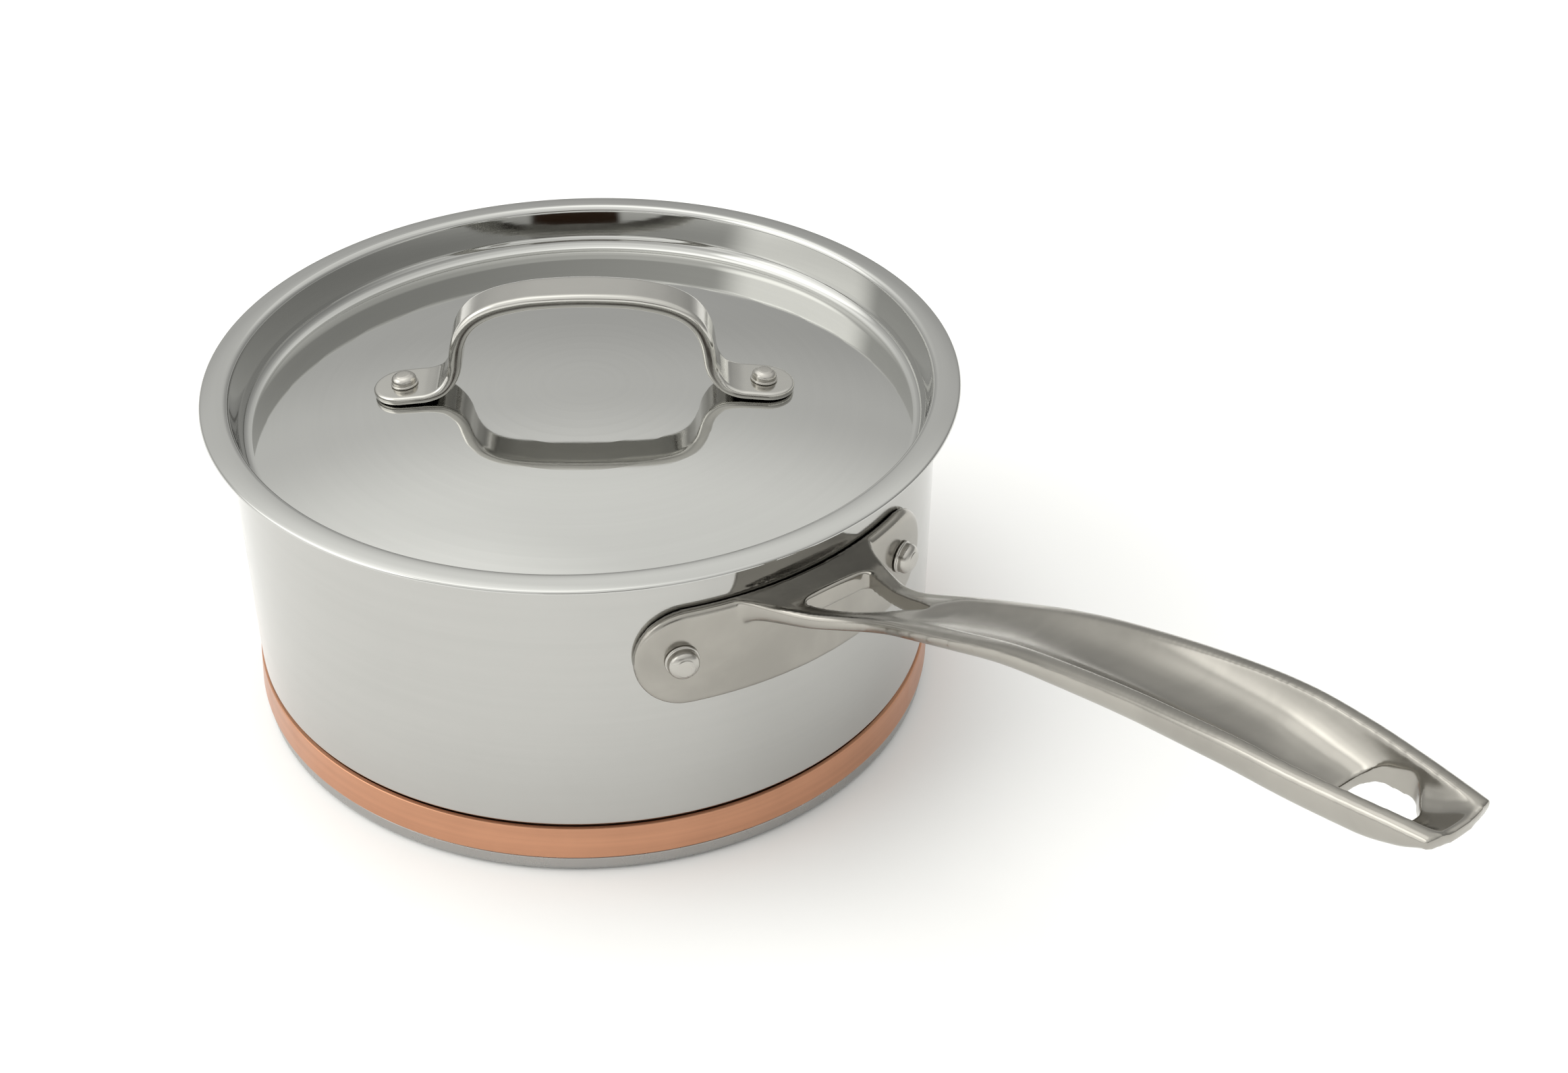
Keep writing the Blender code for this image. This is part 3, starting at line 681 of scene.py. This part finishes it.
def handle_ring(s):
    """One section of the handle: round-crested rims, a scooped top and a convex underside."""
    width, rim, side, belly, scoop = (
        smooth(s / MM, keys) * MM for keys in (HALF_WIDTHS, RIMS, SIDES, BELLIES, SCOOPS)
    )
    square = smooth(s / MM, SQUARENESS)
    crest = CREST_ROUND
    floor_half = width - 2 * crest
    across = [-math.cos(math.pi * i / 24) for i in range(25)]
    top = [(t * floor_half, rim - scoop * (1 - abs(t) ** square)) for t in across]
    crest_arc = [
        (floor_half + crest + crest * math.cos(a), rim - crest + crest * math.sin(a))
        for a in [math.radians(d) for d in (75, 55, 35, 15, 0)]
    ]
    flank = [(width, rim - 0.5 * side - FLANK_SHOULDER), (width - FLANK_TUCK, rim - 0.75 * side)]
    right = crest_arc + flank
    left = [(-y, z) for y, z in reversed(right)]
    under_half = width - UNDERSIDE_INSET
    under = [(-t * under_half, rim - side - belly * math.cos(t * math.pi / 2)) for t in across]
    points = left + top + right + under
    bend = max(0.0, min(1.0, (ARMS_STRAIGHTEN - s) / (ARMS_STRAIGHTEN - ROOT_RADIUS)))
    bow = TIP_BOW * max(0.0, (s - TIP_REACH + TIP_BOW_LENGTH) / TIP_BOW_LENGTH)
    return [
        (s - bend * (s - math.sqrt(s**2 - y**2)) - bow * (y / width) ** 2, y, z) for y, z in points
    ]


def make_plate():
    """The bracket that hugs the wall: a stadium wrapped round the pot, its edge rounded, most at the top."""
    straight = PLATE_HALF_SPAN - PLATE_HALF_HEIGHT
    ends = [PLATE_HALF_HEIGHT * math.sin(math.radians(a)) for a in range(86, 0, -4)]
    side = [straight + e for e in ends]
    middle = [straight * (1 - 2 * i / 32) for i in range(33)]
    thick = PLATE_OUTER - PLATE_INNER
    rings = []
    for y in side + middle + [-y for y in reversed(side)]:
        over = max(abs(y) - straight, 0.0)
        half = math.sqrt(PLATE_HALF_HEIGHT**2 - over**2)
        section = []
        for k in range(33):
            z = half * math.cos(math.pi * k / 32)
            edge = PLATE_EDGE_ROUND + PLATE_EDGE_CHANGE * z / PLATE_HALF_HEIGHT
            drop = rounding(PLATE_HALF_HEIGHT - math.hypot(over, z), edge)
            section.append((PLATE_OUTER - min(drop, thick * 0.8), z))
        section += [(PLATE_INNER, half * math.cos(math.pi * k / 32)) for k in range(32, -1, -1)]
        angle = y / PLATE_OUTER
        rings.append([(r * math.cos(angle), r * math.sin(angle), PLATE_MIDDLE + z) for r, z in section])
    return loft("bracket_plate", rings)


def make_handle():
    """The casting: bar and bracket joined, the fork and the hang hole cut through, every edge softened."""
    stations = [ROOT_RADIUS + (TIP_REACH - ROOT_RADIUS) * i / 150 for i in range(151)]
    handle = loft("cast_handle", [handle_ring(s) for s in stations])
    plate = make_plate()
    root_round, point_round = FORK_ROUNDS
    fork_corners = [
        (FORK_ROOT, -FORK_HALF_WIDTH, root_round),
        (FORK_POINT, 0.0, point_round),
        (FORK_ROOT, FORK_HALF_WIDTH, root_round),
    ]
    fork = prism("fork_cutter", rounded(fork_corners), *FORK_CUT)
    hang_corners = [(HANG_CENTRE + x * MM, y * MM, HANG_ROUND) for x, y in HANG_CORNERS]
    hang = prism("hang_cutter", rounded(hang_corners), *HANG_CUT)
    boolean(handle, plate, "UNION")
    boolean(handle, fork, "DIFFERENCE")
    boolean(handle, hang, "DIFFERENCE")
    remesh = handle.modifiers.new("cast", "REMESH")
    remesh.mode = "VOXEL"
    remesh.voxel_size = CAST_VOXEL
    remesh.use_smooth_shade = True
    soften = handle.modifiers.new("polish", "SMOOTH")
    soften.factor = 0.5
    soften.iterations = CAST_POLISH
    apply_modifiers(handle, (plate, fork, hang))
    handle.data.shade_smooth()
    return handle


# ---------------------------------------------------------------- build

pot_steel = metal(
    "pot_steel", (0.463, 0.460, 0.445), roughness=0.085, tint=0.016, smudge=0.09, turned_lines=0.25, wave=0.02
)
lid_steel = metal(
    "lid_steel", (0.53, 0.53, 0.515), roughness=0.035, tint=0.012, smudge=0.035, turned_lines=0.04
)
cast_steel = metal(
    "cast_steel", (0.36, 0.345, 0.315), roughness=0.14, tint=0.10, smudge=0.12, wave=0.12, pits=0.08
)
loop_steel = metal(
    "loop_steel", (0.55, 0.54, 0.51), roughness=0.12, tint=0.03, smudge=0.07, wave=0.03, pits=0.05
)
rivet_steel = metal(
    "rivet_steel", (0.48, 0.465, 0.435), roughness=0.22, tint=0.06, smudge=0.10, wave=0.06, pits=0.25
)
tray_steel = metal("tray_steel", (0.40, 0.395, 0.385), roughness=0.26, tint=0.03, smudge=0.06)
copper = metal(
    "copper", (0.555, 0.285, 0.175), roughness=0.30, tint=0.08, smudge=0.08, turned_lines=0.35, wave=0.02
)
core_aluminium = metal(
    "core_aluminium", (0.70, 0.71, 0.72), roughness=0.40, tint=0.03, smudge=0.05, turned_lines=0.3
)

dress(make_pot_shell(), pot_steel, "pot", ["pot_body"])
dress(make_band(), copper, "pot", ["copper_band"])
dress(make_tray(), tray_steel, "pot", ["base_cap"])
# The core disc is sealed in the base, so its own solid stays and only takes a material.
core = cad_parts["base_core"]
core.data.materials.clear()
core.data.materials.append(core_aluminium)

dress(make_lid(), lid_steel, "lid", ["lid_shell"])
dress(make_loop(), loop_steel, "lid", ["lid_handle"])
dress(make_handle(), cast_steel, "pot", ["long_handle"])

lid_rivet = rivet_profile(
    LID_RIVET_SHANK, pad_top() + TOUCH, LID_RIVET_HEAD, -WALL - TOUCH, LID_RIVET_TAIL
)
handle_rivet = rivet_profile(
    HANDLE_RIVET_SHANK, PLATE_OUTER + TOUCH, HANDLE_RIVET_HEAD, POT_RADIUS - WALL - TOUCH, HANDLE_RIVET_TAIL
)
for side, word in ((-1, "left"), (1, "right")):
    rivet = make_rivet("lid_rivet_fine_" + word, lid_rivet_place(side), lid_rivet)
    dress(rivet, rivet_steel, "lid", ["lid_rivet_" + word])
    rivet = make_rivet("handle_rivet_fine_" + word, handle_rivet_place(side), handle_rivet)
    dress(rivet, rivet_steel, "pot", ["handle_rivet_" + word])


# ---------------------------------------------------------------- studio

FLOOR_HALF_SIZE = 6.0
FLOOR_CLEARANCE = 0.05 * MM
CAMERA_PLACE = Vector((0.4442, -0.2819, 0.41425))
CAMERA_TURN = Euler([math.radians(a) for a in (54.53, -0.577, 51.711)])
CAMERA_LENS = 48.81

# The room's brightness, by the height of the direction looked in: 0 is level, 1 straight up.
SKY_STOPS = [
    (0.0, 0.85), (0.07, 0.62), (0.15, 0.46), (0.36, 0.57),
    (0.53, 0.74), (0.70, 1.08), (0.82, 1.05), (1.0, 1.3),
]

SKY_BLUE = 0.97

# Where the room's effects lie. Limits run from where an effect starts to where it is full, and
# measure how far a direction points along the side, or for tops, feet and heights its height.
NEAR_SIDE = Vector((0.80, -0.50, 0.45)).normalized()
NEAR_LIMITS, NEAR_HEIGHTS = (0.1, 0.85), (0.42, 0.25)
PATCH_COLOUR = (0.030, 0.017, 0.010, 1.0)
PATCH_ACROSS = (0.530, 0.848, 0.0)
PATCH_EDGES, PATCH_LIMITS = (0.27, 0.22), (0.3, 0.5)
PATCH_TOP, PATCH_FOOT = (0.46, 0.38), (0.24, 0.32)
DIM_SIDE, DIM_BY = (0.62, 0.785, 0.0), 0.28
WINDOW = Vector((-0.44, -0.77, 0.50)).normalized()
WINDOW_LIMITS, WINDOW_GLOW = (0.84, 0.95), 1.6
LAMP = Vector((-0.41, -0.04, 0.91)).normalized()
LAMP_LIMITS, LAMP_GLOW = (0.90, 0.98), 0.5


def make_floor():
    """A plain pale floor, a hair below the pan so that the two don't share a plane."""
    shape = bmesh.new()
    bmesh.ops.create_grid(shape, x_segments=1, y_segments=1, size=FLOOR_HALF_SIZE)
    mesh = bpy.data.meshes.new("floor")
    shape.to_mesh(mesh)
    shape.free()
    floor = bpy.data.objects.new("floor", mesh)
    bpy.context.scene.collection.objects.link(floor)
    floor.location.z = -FLOOR_CLEARANCE
    material = bpy.data.materials.new("pale_floor")
    material.use_nodes = True
    shader = material.node_tree.nodes["Principled BSDF"]
    shader.inputs["Base Color"].default_value = (0.93, 0.93, 0.93, 1.0)
    shader.inputs["Roughness"].default_value = 0.9
    shader.inputs["Specular IOR Level"].default_value = 0.1
    mesh.materials.append(material)


def area_light(name, place, target, size, power, colour):
    """A soft light that shades the floor; what the metal mirrors is the room alone."""
    light = bpy.data.lights.new(name, "AREA")
    light.shape = "RECTANGLE"
    light.size, light.size_y = size
    light.energy = power
    light.color = colour
    obj = bpy.data.objects.new(name, light)
    bpy.context.scene.collection.objects.link(obj)
    obj.location = place
    obj.rotation_euler = (Vector(target) - Vector(place)).to_track_quat("-Z", "Y").to_euler()
    obj.visible_glossy = False


def make_camera():
    """The photograph's camera, as fitted to the circles of the lid, the lip and the band."""
    camera = bpy.data.cameras.new("camera")
    camera.sensor_width = 36.0
    camera.lens = CAMERA_LENS
    camera.clip_start, camera.clip_end = 0.02, 40.0
    obj = bpy.data.objects.new("camera", camera)
    bpy.context.scene.collection.objects.link(obj)
    obj.location = CAMERA_PLACE
    obj.rotation_euler = CAMERA_TURN
    bpy.context.scene.camera = obj


def aimed(tree, direction, axis):
    """How far a direction points along an axis, from -1 to 1."""
    made = tree.nodes.new("ShaderNodeVectorMath")
    made.operation = "DOT_PRODUCT"
    tree.links.new(direction, made.inputs[0])
    made.inputs[1].default_value = axis
    return made.outputs["Value"]


def make_world():
    """The room the metal mirrors: pale above, greyer just over the floor, and not the same on all sides.

    It is brighter low on the near side, glows at a window and overhead, dims towards one side and
    has a small dark patch. The camera itself sees only a plain pale background.
    """
    world = bpy.data.worlds.new("studio")
    bpy.context.scene.world = world
    world.use_nodes = True
    tree = world.node_tree
    room = tree.nodes["Background"]
    direction = tree.nodes.new("ShaderNodeTexCoord").outputs["Generated"]
    height = separated(tree, direction)[2]
    near_side = aimed(tree, direction, NEAR_SIDE)

    sky = tree.nodes.new("ShaderNodeValToRGB")
    sky.color_ramp.interpolation = "EASE"
    elements = sky.color_ramp.elements
    while len(elements) < len(SKY_STOPS):
        elements.new(0.5)
    for element, (place, value) in zip(elements, SKY_STOPS):
        element.position = place
        element.color = (value, value, value * SKY_BLUE, 1.0)
    tree.links.new(height, sky.inputs["Fac"])

    patch = ramp(tree, combined(tree, "ABSOLUTE", aimed(tree, direction, PATCH_ACROSS)), PATCH_EDGES)
    for source, limits in ((height, PATCH_TOP), (height, PATCH_FOOT), (near_side, PATCH_LIMITS)):
        patch = combined(tree, "MULTIPLY", patch, ramp(tree, source, limits))
    tree.links.new(mixed(tree, patch, sky.outputs[0], PATCH_COLOUR), room.inputs["Color"])

    near = combined(tree, "MULTIPLY", ramp(tree, near_side, NEAR_LIMITS), ramp(tree, height, NEAR_HEIGHTS))
    sides = combined(tree, "MULTIPLY_ADD", aimed(tree, direction, DIM_SIDE), -DIM_BY, 1.0)
    for axis, limits, glow in ((WINDOW, WINDOW_LIMITS, WINDOW_GLOW), (LAMP, LAMP_LIMITS, LAMP_GLOW)):
        sides = combined(tree, "ADD", sides, ramp(tree, aimed(tree, direction, axis), limits, 0.0, glow))
    strength = combined(tree, "MULTIPLY", combined(tree, "ADD", near, 1.0), sides)
    tree.links.new(strength, room.inputs["Strength"])

    plain = tree.nodes.new("ShaderNodeBackground")
    plain.inputs["Color"].default_value = (1.0, 1.0, 0.99, 1.0)
    seen = tree.nodes.new("ShaderNodeMixShader")
    camera_ray = tree.nodes.new("ShaderNodeLightPath").outputs["Is Camera Ray"]
    for socket, source in zip(seen.inputs, (camera_ray, room.outputs[0], plain.outputs[0])):
        tree.links.new(source, socket)
    tree.links.new(seen.outputs[0], tree.nodes["World Output"].inputs["Surface"])


make_floor()
make_world()
area_light(
    "key_softbox", place=(-0.40, -0.95, 0.75), target=(0.15, 0.0, 0.12), size=(1.0, 0.8),
    power=3.0, colour=(1.0, 0.98, 0.93),
)
area_light(
    "top_softbox", place=(-0.30, -0.05, 1.35), target=(0.10, 0.0, 0.10), size=(0.8, 0.6),
    power=2.6, colour=(1.0, 0.99, 0.96),
)
make_camera()
bpy.context.scene.view_settings.view_transform = "Standard"
